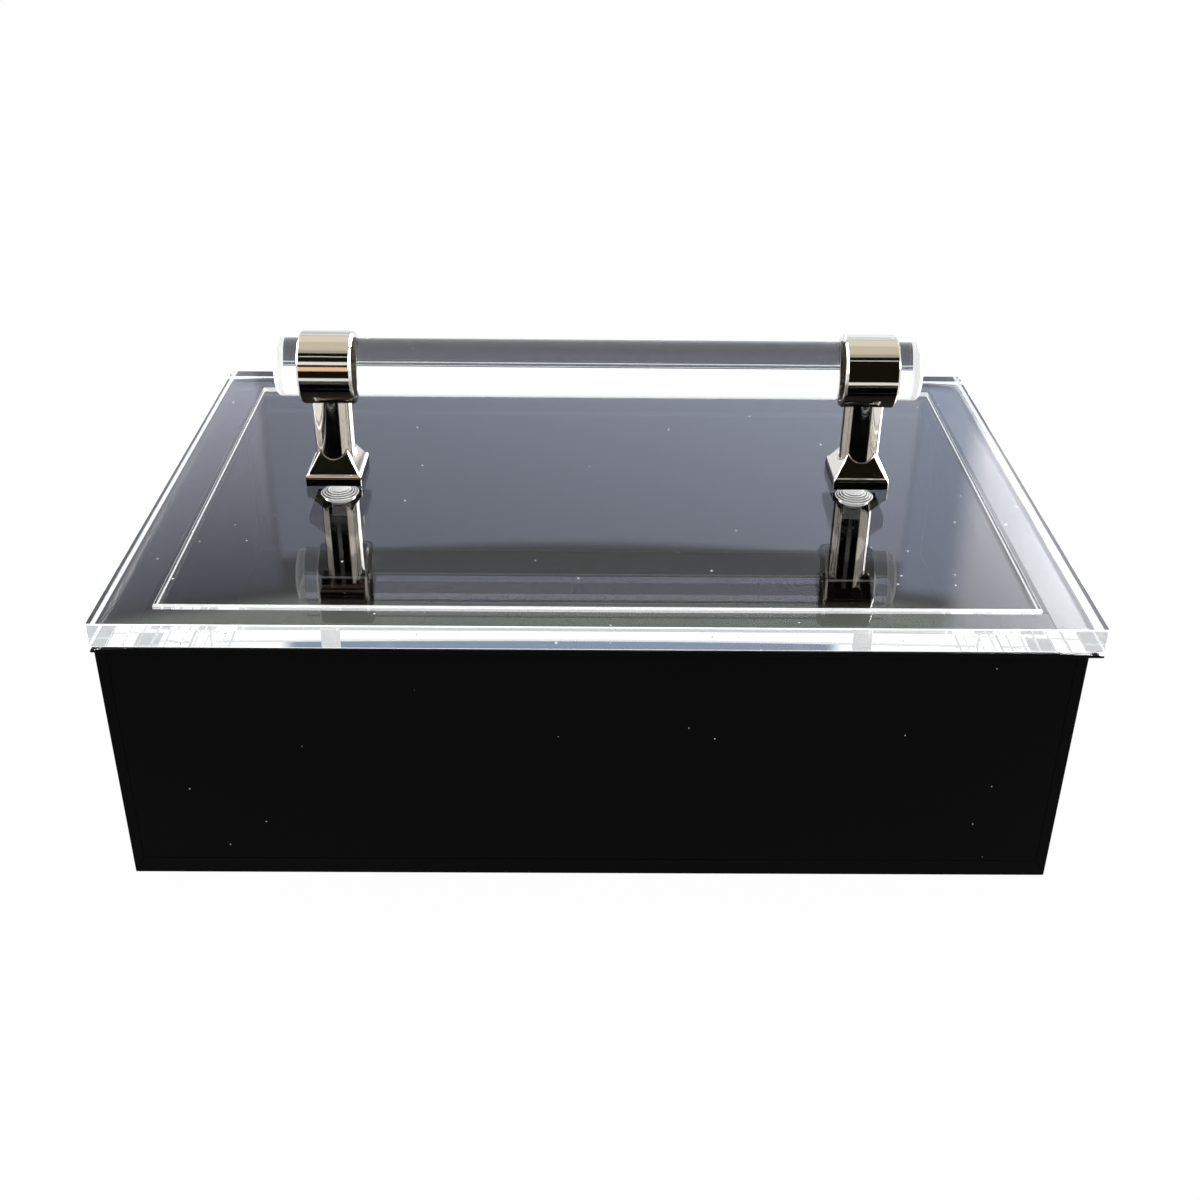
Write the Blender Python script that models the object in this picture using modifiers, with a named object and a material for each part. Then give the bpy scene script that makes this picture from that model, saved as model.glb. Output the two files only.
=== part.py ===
"""Black acrylic keepsake box with a thick clear lift-off lid and a clear bar handle.

The model is in metres with +Z up. The origin lies on the surface the box stands on, under
the middle of the lid slab. The front of the box faces -Y.
"""
import math

import bmesh
import bpy
from mathutils import Matrix, Vector

MM = 0.001

# General fits
FIT_GAP = 0.3 * MM          # glue line, seat or thread play between two pieces
CUT_OVERRUN = 1.0 * MM      # how far a cutter runs past the face that it opens
MERGE_DISTANCE = 0.005 * MM  # points of a turned piece closer than this are one

# Lid: a clear slab with a clear locating plate bonded under it
LID_WIDTH = 210.0 * MM
LID_DEPTH = 142.0 * MM
LID_THICKNESS = 5.6 * MM
LID_ARRIS = 0.35 * MM       # polished edge break of both clear plates
PLATE_THICKNESS = 4.0 * MM
PLATE_CLEARANCE = 1.0 * MM  # play of the locating plate in the window, all round

# Frame: a thin black flange of four strips on top of the walls
FRAME_THICKNESS = 1.0 * MM
FRAME_SETBACK = 0.1 * MM    # how far the lid slab stands out past the frame
FRAME_SIDE_STRIP = 9.3 * MM
FRAME_FRONT_STRIP = 10.6 * MM
FRAME_REAR_STRIP = 6.4 * MM

# Carcass: side walls mitred to the base, front and rear walls set between them
BOX_HEIGHT = 60.4 * MM      # standing surface to the top of the frame
LEDGE_SIDE = 1.5 * MM       # mean overhang of the frame past a side wall
LEDGE_FRONT = 1.3 * MM      # overhang of the frame past the front and rear walls
CARCASS_SHIFT = -1.15 * MM  # the frame is glued this far off centre on the walls
SIDE_WALL = 2.4 * MM
FRONT_WALL = 3.0 * MM
BASE_THICKNESS = 4.2 * MM

# Handle: a clear rod in two collars, each on a stem and a flared foot
HANDLE_SPAN = 128.0 * MM    # between the two stems, centre to centre
HANDLE_SETBACK = 1.4 * MM   # handle's axis behind the middle of the lid
ROD_LENGTH = 152.2 * MM
ROD_RADIUS = 6.9 * MM
ROD_CHAMFER = 1.3 * MM
ROD_RISE = 28.1 * MM        # rod axis above the top of the lid
COLLAR_WIDTH = 12.6 * MM
COLLAR_WALL = 1.4 * MM
COLLAR_CHAMFER = 0.35 * MM
STEM_RADIUS = 4.7 * MM
FOOT_WIDTH = 13.4 * MM
FOOT_DEPTH = 14.5 * MM
FOOT_FACE = 1.5 * MM        # height of the upright band round the foot
FOOT_BEAD = 1.2 * MM        # height of the rounded shoulder above the band
FOOT_SHOULDER = 0.5 * MM    # how far the shoulder draws in
FLARE_HEIGHT = 5.6 * MM
FLARE_NECK = 6.0 * MM       # width of the flare where it runs out inside the stem
FLARE_POWER = 1.1           # 1 is a straight pyramid, more is more hollow
FOOT_FLOOR = 1.8 * MM       # metal left under the stem's socket

# Fasteners
SCREW_RADIUS = 2.0 * MM
SCREW_HEAD_RADIUS = 3.9 * MM
SCREW_HEAD_HEIGHT = 2.3 * MM
SCREW_HEAD_EDGE = 0.6 * MM
SCREW_SLOT_WIDTH = 1.0 * MM
SCREW_SLOT_DEPTH = 1.1 * MM
SCREW_GRIP = 6.0 * MM       # length of thread inside the stem
WASHER_RADIUS = 4.9 * MM
WASHER_THICKNESS = 1.1 * MM
WASHER_EDGE = 0.25 * MM
WASHER_SLOPE_IN = 0.65 * MM  # the washer's side leans in this far towards its top
GRUB_RADIUS = 1.5 * MM
GRUB_LENGTH = 2.2 * MM
GRUB_RECESS = 0.1 * MM      # grub screw head below the collar's skin
GRUB_SOCKET_RADIUS = 0.75 * MM
GRUB_SOCKET_DEPTH = 0.9 * MM

# Facet counts
ROUND_SEGMENTS = 64
SMALL_SEGMENTS = 40
HEX_SEGMENTS = 6
ARRIS_SEGMENTS = 1
ROD_END_SEGMENTS = 5
SHOULDER_STEPS = 5
FLARE_STEPS = 12
SMOOTH_ANGLE = math.radians(32)

# Levels, from the standing surface up
FRAME_TOP = BOX_HEIGHT
FRAME_BOTTOM = FRAME_TOP - FRAME_THICKNESS
WALL_TOP = FRAME_BOTTOM - FIT_GAP
LID_BOTTOM = FRAME_TOP + FIT_GAP
LID_TOP = LID_BOTTOM + LID_THICKNESS
PLATE_TOP = LID_BOTTOM - FIT_GAP
PLATE_BOTTOM = PLATE_TOP - PLATE_THICKNESS
WASHER_TOP = PLATE_BOTTOM - FIT_GAP
WASHER_BOTTOM = WASHER_TOP - WASHER_THICKNESS
SCREW_SEAT = WASHER_BOTTOM - FIT_GAP
FOOT_BOTTOM = LID_TOP + FIT_GAP
STEM_BOTTOM = FOOT_BOTTOM + FOOT_FLOOR + FIT_GAP
ROD_AXIS = LID_TOP + ROD_RISE
COLLAR_BORE = ROD_RADIUS + FIT_GAP
COLLAR_RADIUS = COLLAR_BORE + COLLAR_WALL
SCREW_HOLE = SCREW_RADIUS + FIT_GAP

# Plan outlines: half sizes, with Y given as the front and rear edges
FRAME_HALF_WIDTH = LID_WIDTH / 2 - FRAME_SETBACK
FRAME_REAR = LID_DEPTH / 2 - FRAME_SETBACK
FRAME_FRONT = -FRAME_REAR
WINDOW_HALF_WIDTH = FRAME_HALF_WIDTH - FRAME_SIDE_STRIP
WINDOW_FRONT = FRAME_FRONT + FRAME_FRONT_STRIP
WINDOW_REAR = FRAME_REAR - FRAME_REAR_STRIP
PLATE_HALF_WIDTH = WINDOW_HALF_WIDTH - PLATE_CLEARANCE
PLATE_FRONT = WINDOW_FRONT + PLATE_CLEARANCE
PLATE_REAR = WINDOW_REAR - PLATE_CLEARANCE
HANDLE_Y = HANDLE_SETBACK
WALL_LEFT = CARCASS_SHIFT - FRAME_HALF_WIDTH + LEDGE_SIDE
WALL_RIGHT = CARCASS_SHIFT + FRAME_HALF_WIDTH - LEDGE_SIDE
WALL_FRONT = FRAME_FRONT + LEDGE_FRONT
WALL_REAR = FRAME_REAR - LEDGE_FRONT

SIDES = {"left": -1, "right": 1}


def clear_scene():
    """Remove every object that the file opened with."""
    for thing in list(bpy.data.objects):
        bpy.data.objects.remove(thing, do_unlink=True)


def new_collection(name):
    """Make a collection and link it to the scene."""
    collection = bpy.data.collections.new(name)
    bpy.context.scene.collection.children.link(collection)
    return collection


def new_material(name, colour, roughness, metallic=0.0, clear=0.0):
    """Make a Principled material; clear is the share of light that passes through."""
    material = bpy.data.materials.new(name)
    material.use_nodes = True
    shader = material.node_tree.nodes["Principled BSDF"]
    shader.inputs["Base Color"].default_value = (*colour, 1.0)
    shader.inputs["Roughness"].default_value = roughness
    shader.inputs["Metallic"].default_value = metallic
    shader.inputs["Transmission Weight"].default_value = clear
    material.diffuse_color = (*colour, 1.0)
    material.roughness = roughness
    material.metallic = metallic
    return material


def new_object(name, mesh_maker, collection, material=None, place=(0.0, 0.0, 0.0), turn=None):
    """Turn a filled bmesh into an object at a place, turned by a rotation matrix."""
    mesh = bpy.data.meshes.new(name)
    mesh_maker.to_mesh(mesh)
    mesh_maker.free()
    mesh.shade_smooth()
    mesh.set_sharp_from_angle(angle=SMOOTH_ANGLE)
    thing = bpy.data.objects.new(name, mesh)
    rotation = turn if turn is not None else Matrix.Identity(4)
    thing.matrix_world = Matrix.Translation(Vector(place)) @ rotation
    collection.objects.link(thing)
    if material is not None:
        mesh.materials.append(material)
    return thing


def block_mesh(low, high):
    """A box between two corners."""
    mesh_maker = bmesh.new()
    bmesh.ops.create_cube(mesh_maker, size=1.0)
    low, high = Vector(low), Vector(high)
    middle = (low + high) / 2
    for vertex in mesh_maker.verts:
        for axis in range(3):
            vertex.co[axis] = middle[axis] + vertex.co[axis] * (high[axis] - low[axis])
    return mesh_maker


def cylinder_mesh(radius, start, end, segments):
    """A capped cylinder along Z from start to end."""
    mesh_maker = bmesh.new()
    bmesh.ops.create_cone(
        mesh_maker, cap_ends=True, segments=segments, radius1=radius, radius2=radius,
        depth=end - start, matrix=Matrix.Translation((0, 0, (start + end) / 2)))
    return mesh_maker


def block(name, low, high, material):
    """A box-shaped piece between two corners."""
    return new_object(name, block_mesh(low, high), PARTS, material)


def turned(name, profile, segments, collection, material, place, turn=None):
    """A ring turned about Z from a closed profile of (radius, height) points."""
    mesh_maker = bmesh.new()
    corners = [mesh_maker.verts.new((radius, 0, height)) for radius, height in profile]
    for index, corner in enumerate(corners):
        mesh_maker.edges.new((corner, corners[(index + 1) % len(corners)]))
    thing = new_object(name, mesh_maker, collection, material, place, turn)
    screw = thing.modifiers.new("turn", "SCREW")
    screw.axis = "Z"
    screw.steps = segments
    screw.render_steps = segments
    screw.use_merge_vertices = True
    screw.merge_threshold = MERGE_DISTANCE
    screw.use_normal_calculate = True
    screw.use_smooth_shade = True
    return thing


def cutter(name, mesh_maker, place=(0.0, 0.0, 0.0), turn=None):
    """A hidden solid that only cuts."""
    thing = new_object(name, mesh_maker, CUTTERS, None, place, turn)
    thing.display_type = "WIRE"
    thing.hide_render = True
    return thing


def cut(thing, tool):
    """Take a cutter away from a piece."""
    boolean = thing.modifiers.new("cut " + tool.name, "BOOLEAN")
    boolean.operation = "DIFFERENCE"
    boolean.solver = "EXACT"
    boolean.object = tool


def break_edges(thing, width, segments):
    """Bevel the sharp edges of a piece."""
    bevel = thing.modifiers.new("edge break", "BEVEL")
    bevel.width = width
    bevel.segments = segments
    bevel.limit_method = "ANGLE"
    bevel.angle_limit = SMOOTH_ANGLE


def parent_keep(child, parent):
    """Parent a piece without moving it."""
    bpy.context.view_layer.update()
    world = child.matrix_world.copy()
    child.parent = parent
    child.matrix_parent_inverse = parent.matrix_world.inverted()
    child.matrix_world = world


def stem_x(side):
    """X of the stem on the left (-1) or right (1)."""
    return side * HANDLE_SPAN / 2


def make_base_panel():
    """The base panel, its two ends mitred to the side walls."""
    mitre_gap = FIT_GAP * math.hypot(SIDE_WALL, BASE_THICKNESS) / BASE_THICKNESS
    left, right = WALL_LEFT + mitre_gap, WALL_RIGHT - mitre_gap
    mesh_maker = block_mesh((left, WALL_FRONT, 0), (right, WALL_REAR, BASE_THICKNESS))
    middle = (left + right) / 2
    for vertex in mesh_maker.verts:
        if vertex.co.z > BASE_THICKNESS / 2:
            vertex.co.x -= math.copysign(SIDE_WALL, vertex.co.x - middle)
    new_object("base_panel", mesh_maker, PARTS, BLACK_ACRYLIC)


def make_side_walls():
    """The side walls: full depth, with a mitred foot that meets the base."""
    for name, side in SIDES.items():
        outer = WALL_LEFT if side < 0 else WALL_RIGHT
        inner = outer - side * SIDE_WALL
        low = (min(outer, inner), WALL_FRONT, 0)
        high = (max(outer, inner), WALL_REAR, WALL_TOP)
        mesh_maker = block_mesh(low, high)
        for vertex in mesh_maker.verts:
            at_inner_face = abs(vertex.co.x - inner) < SIDE_WALL / 2
            if at_inner_face and vertex.co.z < BASE_THICKNESS:
                vertex.co.z = BASE_THICKNESS
        new_object(name + "_wall", mesh_maker, PARTS, BLACK_ACRYLIC)


def make_front_and_rear_walls():
    """The front and rear walls, between the side walls and on the base."""
    left = WALL_LEFT + SIDE_WALL + FIT_GAP
    right = WALL_RIGHT - SIDE_WALL - FIT_GAP
    bottom = BASE_THICKNESS + FIT_GAP
    block("front_wall", (left, WALL_FRONT, bottom),
          (right, WALL_FRONT + FRONT_WALL, WALL_TOP), BLACK_ACRYLIC)
    block("rear_wall", (left, WALL_REAR - FRONT_WALL, bottom),
          (right, WALL_REAR, WALL_TOP), BLACK_ACRYLIC)


def make_frame():
    """The four flange strips; the side strips run the full depth."""
    for name, side in SIDES.items():
        edges = sorted((side * WINDOW_HALF_WIDTH, side * FRAME_HALF_WIDTH))
        block("frame_strip_" + name, (edges[0], FRAME_FRONT, FRAME_BOTTOM),
              (edges[1], FRAME_REAR, FRAME_TOP), BLACK_FRAME)
    reach = WINDOW_HALF_WIDTH - FIT_GAP
    block("frame_strip_front", (-reach, FRAME_FRONT, FRAME_BOTTOM),
          (reach, WINDOW_FRONT, FRAME_TOP), BLACK_FRAME)
    block("frame_strip_rear", (-reach, WINDOW_REAR, FRAME_BOTTOM),
          (reach, FRAME_REAR, FRAME_TOP), BLACK_FRAME)


def make_clear_plates():
    """The lid slab and the locating plate, both drilled for the handle's screws."""
    slab = block("lid_slab", (-LID_WIDTH / 2, -LID_DEPTH / 2, LID_BOTTOM),
                 (LID_WIDTH / 2, LID_DEPTH / 2, LID_TOP), CLEAR_ACRYLIC)
    plate = block("locating_plate", (-PLATE_HALF_WIDTH, PLATE_FRONT, PLATE_BOTTOM),
                  (PLATE_HALF_WIDTH, PLATE_REAR, PLATE_TOP), CLEAR_ACRYLIC)
    for thing in (slab, plate):
        break_edges(thing, LID_ARRIS, ARRIS_SEGMENTS)
    for name, side in SIDES.items():
        drill = cutter(
            name + "_lid_drill",
            cylinder_mesh(SCREW_HOLE, PLATE_BOTTOM - CUT_OVERRUN, LID_TOP + CUT_OVERRUN,
                          SMALL_SEGMENTS),
            (stem_x(side), HANDLE_Y, 0))
        cut(slab, drill)
        cut(plate, drill)
    parent_keep(slab, LID_PIVOT)
    parent_keep(plate, LID_PIVOT)


def make_rod():
    """The clear rod, chamfered at its ends and dimpled for the two grub screws."""
    along_x = Matrix.Rotation(math.pi / 2, 4, "Y")
    rod = new_object(
        "handle_rod",
        cylinder_mesh(ROD_RADIUS, -ROD_LENGTH / 2, ROD_LENGTH / 2, ROUND_SEGMENTS),
        PARTS, CLEAR_ACRYLIC, (0, HANDLE_Y, ROD_AXIS), along_x)
    break_edges(rod, ROD_CHAMFER, ROD_END_SEGMENTS)
    along_y = Matrix.Rotation(-math.pi / 2, 4, "X")
    dimple_floor = COLLAR_RADIUS - GRUB_RECESS - GRUB_LENGTH - FIT_GAP
    for name, side in SIDES.items():
        cut(rod, cutter(
            name + "_rod_dimple",
            cylinder_mesh(GRUB_RADIUS + FIT_GAP, dimple_floor, COLLAR_RADIUS + CUT_OVERRUN,
                          SMALL_SEGMENTS),
            (stem_x(side), HANDLE_Y, ROD_AXIS), along_y))
    parent_keep(rod, LID_PIVOT)


def make_collar(name, side):
    """A nickel collar round the rod, with a tapped hole at the rear for its grub screw."""
    half = COLLAR_WIDTH / 2
    profile = [
        (COLLAR_BORE, -half),
        (COLLAR_BORE, half),
        (COLLAR_RADIUS - COLLAR_CHAMFER, half),
        (COLLAR_RADIUS, half - COLLAR_CHAMFER),
        (COLLAR_RADIUS, COLLAR_CHAMFER - half),
        (COLLAR_RADIUS - COLLAR_CHAMFER, -half),
    ]
    place = (stem_x(side), HANDLE_Y, ROD_AXIS)
    along_x = Matrix.Rotation(math.pi / 2, 4, "Y")
    collar = turned(name + "_collar", profile, ROUND_SEGMENTS, PARTS, NICKEL, place, along_x)
    along_y = Matrix.Rotation(-math.pi / 2, 4, "X")
    cut(collar, cutter(
        name + "_collar_tapping",
        cylinder_mesh(GRUB_RADIUS + FIT_GAP, ROD_RADIUS, COLLAR_RADIUS + CUT_OVERRUN,
                      SMALL_SEGMENTS),
        place, along_y))
    parent_keep(collar, LID_PIVOT)


def make_grub_screw(name, side):
    """The grub screw that holds the rod in its collar."""
    end = COLLAR_RADIUS - GRUB_RECESS
    place = (stem_x(side), HANDLE_Y, ROD_AXIS)
    along_y = Matrix.Rotation(-math.pi / 2, 4, "X")
    grub = new_object(
        name + "_grub_screw",
        cylinder_mesh(GRUB_RADIUS, end - GRUB_LENGTH, end, SMALL_SEGMENTS),
        PARTS, DARK_STEEL, place, along_y)
    cut(grub, cutter(
        name + "_grub_socket",
        cylinder_mesh(GRUB_SOCKET_RADIUS, end - GRUB_SOCKET_DEPTH, end + CUT_OVERRUN,
                      HEX_SEGMENTS),
        place, along_y))
    parent_keep(grub, LID_PIVOT)


def make_stem(name, side):
    """A round stem: saddled to its collar on top, tapped from below."""
    place = (stem_x(side), HANDLE_Y, 0)
    stem = new_object(
        name + "_stem",
        cylinder_mesh(STEM_RADIUS, STEM_BOTTOM, ROD_AXIS - ROD_RADIUS, ROUND_SEGMENTS),
        PARTS, NICKEL, place)
    along_x = Matrix.Rotation(math.pi / 2, 4, "Y")
    cut(stem, cutter(
        name + "_stem_saddle",
        cylinder_mesh(COLLAR_RADIUS + FIT_GAP, -COLLAR_WIDTH, COLLAR_WIDTH, ROUND_SEGMENTS),
        (stem_x(side), HANDLE_Y, ROD_AXIS), along_x))
    cut(stem, cutter(
        name + "_stem_tapping",
        cylinder_mesh(SCREW_HOLE, STEM_BOTTOM - CUT_OVERRUN,
                      STEM_BOTTOM + SCREW_GRIP + FIT_GAP, SMALL_SEGMENTS),
        place))
    parent_keep(stem, LID_PIVOT)


def foot_sections():
    """Half width, half depth and height of each level of a foot, bottom to top."""
    half_width, half_depth = FOOT_WIDTH / 2, FOOT_DEPTH / 2
    levels = [(half_width, half_depth, FOOT_BOTTOM)]
    for step in range(SHOULDER_STEPS + 1):
        angle = math.pi / 2 * step / SHOULDER_STEPS
        draw_in = FOOT_SHOULDER * (1 - math.cos(angle))
        rise = FOOT_FACE + FOOT_BEAD * math.sin(angle)
        levels.append((half_width - draw_in, half_depth - draw_in, FOOT_BOTTOM + rise))
    shoulder_width, shoulder_depth, shoulder_top = levels[-1]
    neck_width = FLARE_NECK / 2
    neck_depth = neck_width * FOOT_DEPTH / FOOT_WIDTH
    for step in range(1, FLARE_STEPS + 1):
        share = step / FLARE_STEPS
        left_share = (1 - share) ** FLARE_POWER
        levels.append((
            neck_width + (shoulder_width - neck_width) * left_share,
            neck_depth + (shoulder_depth - neck_depth) * left_share,
            shoulder_top + FLARE_HEIGHT * share))
    return levels


def make_foot(name, side):
    """A flared oblong foot with a socket for its stem and a hole for its screw."""
    levels = foot_sections()
    mesh_maker = bmesh.new()
    half_width, half_depth, height = levels[0]
    corners = [mesh_maker.verts.new((half_width * x, half_depth * y, height))
               for x, y in ((-1, -1), (-1, 1), (1, 1), (1, -1))]
    top = mesh_maker.faces.new(corners)
    for half_width, half_depth, height in levels[1:]:
        is_bottom = len(mesh_maker.faces) == 1
        extruded = bmesh.ops.extrude_face_region(mesh_maker, geom=[top])["geom"]
        if not is_bottom:
            bmesh.ops.delete(mesh_maker, geom=[top], context="FACES_ONLY")
        top = next(item for item in extruded if isinstance(item, bmesh.types.BMFace))
        for vertex in top.verts:
            vertex.co.x = math.copysign(half_width, vertex.co.x)
            vertex.co.y = math.copysign(half_depth, vertex.co.y)
            vertex.co.z = height
    bmesh.ops.recalc_face_normals(mesh_maker, faces=mesh_maker.faces)
    place = (stem_x(side), HANDLE_Y, 0)
    foot = new_object(name + "_foot", mesh_maker, PARTS, NICKEL, place)
    cut(foot, cutter(
        name + "_foot_socket",
        cylinder_mesh(STEM_RADIUS + FIT_GAP, FOOT_BOTTOM + FOOT_FLOOR,
                      levels[-1][2] + CUT_OVERRUN, ROUND_SEGMENTS),
        place))
    cut(foot, cutter(
        name + "_foot_drill",
        cylinder_mesh(SCREW_HOLE, FOOT_BOTTOM - CUT_OVERRUN,
                      FOOT_BOTTOM + FOOT_FLOOR + CUT_OVERRUN, SMALL_SEGMENTS),
        place))
    parent_keep(foot, LID_PIVOT)


def make_washer(name, side):
    """A nylon washer with a leaning side, between the locating plate and a screw head."""
    profile = [
        (SCREW_HOLE, WASHER_BOTTOM),
        (SCREW_HOLE, WASHER_TOP),
        (WASHER_RADIUS - WASHER_SLOPE_IN, WASHER_TOP),
        (WASHER_RADIUS, WASHER_BOTTOM + WASHER_EDGE),
        (WASHER_RADIUS - WASHER_EDGE, WASHER_BOTTOM),
    ]
    washer = turned(name + "_washer", profile, ROUND_SEGMENTS, PARTS, NYLON,
                    (stem_x(side), HANDLE_Y, 0))
    parent_keep(washer, LID_PIVOT)


def make_mount_screw(name, side):
    """A slotted pan-head screw, up through both clear plates into its stem."""
    place = (stem_x(side), HANDLE_Y, 0)
    screw = new_object(
        name + "_mount_screw",
        cylinder_mesh(SCREW_HEAD_RADIUS, SCREW_SEAT - SCREW_HEAD_HEIGHT, SCREW_SEAT,
                      SMALL_SEGMENTS),
        PARTS, STEEL, place)
    break_edges(screw, SCREW_HEAD_EDGE, ARRIS_SEGMENTS)
    shank = cutter(
        name + "_screw_shank",
        cylinder_mesh(SCREW_RADIUS, SCREW_SEAT - SCREW_HEAD_HEIGHT / 2,
                      STEM_BOTTOM + SCREW_GRIP, SMALL_SEGMENTS),
        place)
    join = screw.modifiers.new("shank", "BOOLEAN")
    join.operation = "UNION"
    join.solver = "EXACT"
    join.object = shank
    slot_reach = SCREW_HEAD_RADIUS + CUT_OVERRUN
    slot_floor = SCREW_SEAT - SCREW_HEAD_HEIGHT + SCREW_SLOT_DEPTH
    cut(screw, cutter(
        name + "_screw_slot",
        block_mesh((-slot_reach, -SCREW_SLOT_WIDTH / 2,
                    SCREW_SEAT - SCREW_HEAD_HEIGHT - CUT_OVERRUN),
                   (slot_reach, SCREW_SLOT_WIDTH / 2, slot_floor)),
        place))
    parent_keep(screw, LID_PIVOT)


clear_scene()
PARTS = new_collection("acrylic box")
CUTTERS = new_collection("cutters")

BLACK_ACRYLIC = new_material("satin black acrylic", (0.006, 0.006, 0.008), 0.38)
BLACK_FRAME = new_material("satin black frame", (0.012, 0.012, 0.013), 0.30)
CLEAR_ACRYLIC = new_material("clear cast acrylic", (0.92, 0.95, 0.96), 0.02, clear=1.0)
NICKEL = new_material("polished nickel", (0.66, 0.63, 0.58), 0.12, metallic=1.0)
NYLON = new_material("natural nylon", (0.80, 0.79, 0.74), 0.40)
STEEL = new_material("zinc plated steel", (0.62, 0.63, 0.65), 0.28, metallic=1.0)
DARK_STEEL = new_material("blackened steel", (0.05, 0.05, 0.055), 0.40, metallic=1.0)

LID_PIVOT = bpy.data.objects.new("lid_pivot", None)
LID_PIVOT.location = (0, HANDLE_Y, LID_BOTTOM)
PARTS.objects.link(LID_PIVOT)

make_base_panel()
make_side_walls()
make_front_and_rear_walls()
make_frame()
make_clear_plates()
make_rod()
for side_name, side_sign in SIDES.items():
    make_collar(side_name, side_sign)
    make_grub_screw(side_name, side_sign)
    make_stem(side_name, side_sign)
    make_foot(side_name, side_sign)
    make_washer(side_name, side_sign)
    make_mount_screw(side_name, side_sign)
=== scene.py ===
"""Looks of a black acrylic keepsake box with a thick clear lift-off lid and a clear bar handle.

Lengths are in metres, +Z is up, and the front of the box faces -Y.
"""
import logging
import math
from collections.abc import Callable
from dataclasses import dataclass, field
from enum import Enum
from typing import Any

import bmesh
import bpy
from mathutils import Matrix, Vector


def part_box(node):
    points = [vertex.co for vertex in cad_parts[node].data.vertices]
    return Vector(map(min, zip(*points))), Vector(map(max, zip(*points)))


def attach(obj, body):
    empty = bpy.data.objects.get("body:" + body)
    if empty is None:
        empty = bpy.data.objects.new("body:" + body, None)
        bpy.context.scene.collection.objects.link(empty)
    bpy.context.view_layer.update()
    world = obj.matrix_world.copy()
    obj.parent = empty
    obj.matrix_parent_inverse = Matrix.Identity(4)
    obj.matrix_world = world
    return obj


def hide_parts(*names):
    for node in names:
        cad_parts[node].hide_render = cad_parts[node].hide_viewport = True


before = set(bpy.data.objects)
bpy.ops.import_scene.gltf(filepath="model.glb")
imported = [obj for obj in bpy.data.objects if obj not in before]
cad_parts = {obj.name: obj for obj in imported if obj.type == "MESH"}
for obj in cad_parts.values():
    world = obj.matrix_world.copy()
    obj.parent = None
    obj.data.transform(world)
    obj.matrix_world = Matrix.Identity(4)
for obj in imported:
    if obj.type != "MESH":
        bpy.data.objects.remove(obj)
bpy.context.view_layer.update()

MM = 0.001
LOG = logging.getLogger("acrylic_box")
TINY = 0.01 * MM
SHARP = math.radians(30)
FLAT = 0.95

Point = tuple[float, float, float]
Colour = tuple[float, float, float, float]
Socket = bpy.types.NodeSocket


class Body(Enum):
    """The two bodies of the box."""

    BOX = "box"
    LID = "lid"


class Side(Enum):
    """The two ends of the handle, by the sign of X."""

    LEFT = -1
    RIGHT = 1

    def named(self, part: str) -> str:
        """A part's name with the side's name before it."""
        return self.name.lower() + "_" + part


class Facing(Enum):
    """Which way azimuth zero of a light panel lies, by the sign of Y."""

    REAR = 1
    FRONT = -1


def linear(hex_colour: str, level: float = 1.0) -> Colour:
    """Turn an sRGB hex colour into linear RGBA.

    Args:
        hex_colour: A colour such as "#1A2B3C".
        level: Its brightness.

    Returns:
        Red, green, blue and an alpha of one, all linear.
    """
    digits = hex_colour.lstrip("#")
    channels = [int(digits[start:start + 2], 16) / 255 for start in (0, 2, 4)]
    toe, toe_slope, offset, power = 0.04045, 12.92, 0.055, 2.4
    red, green, blue = (
        level * (value / toe_slope if value <= toe else ((value + offset) / (1 + offset)) ** power)
        for value in channels)
    return red, green, blue, 1.0


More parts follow.
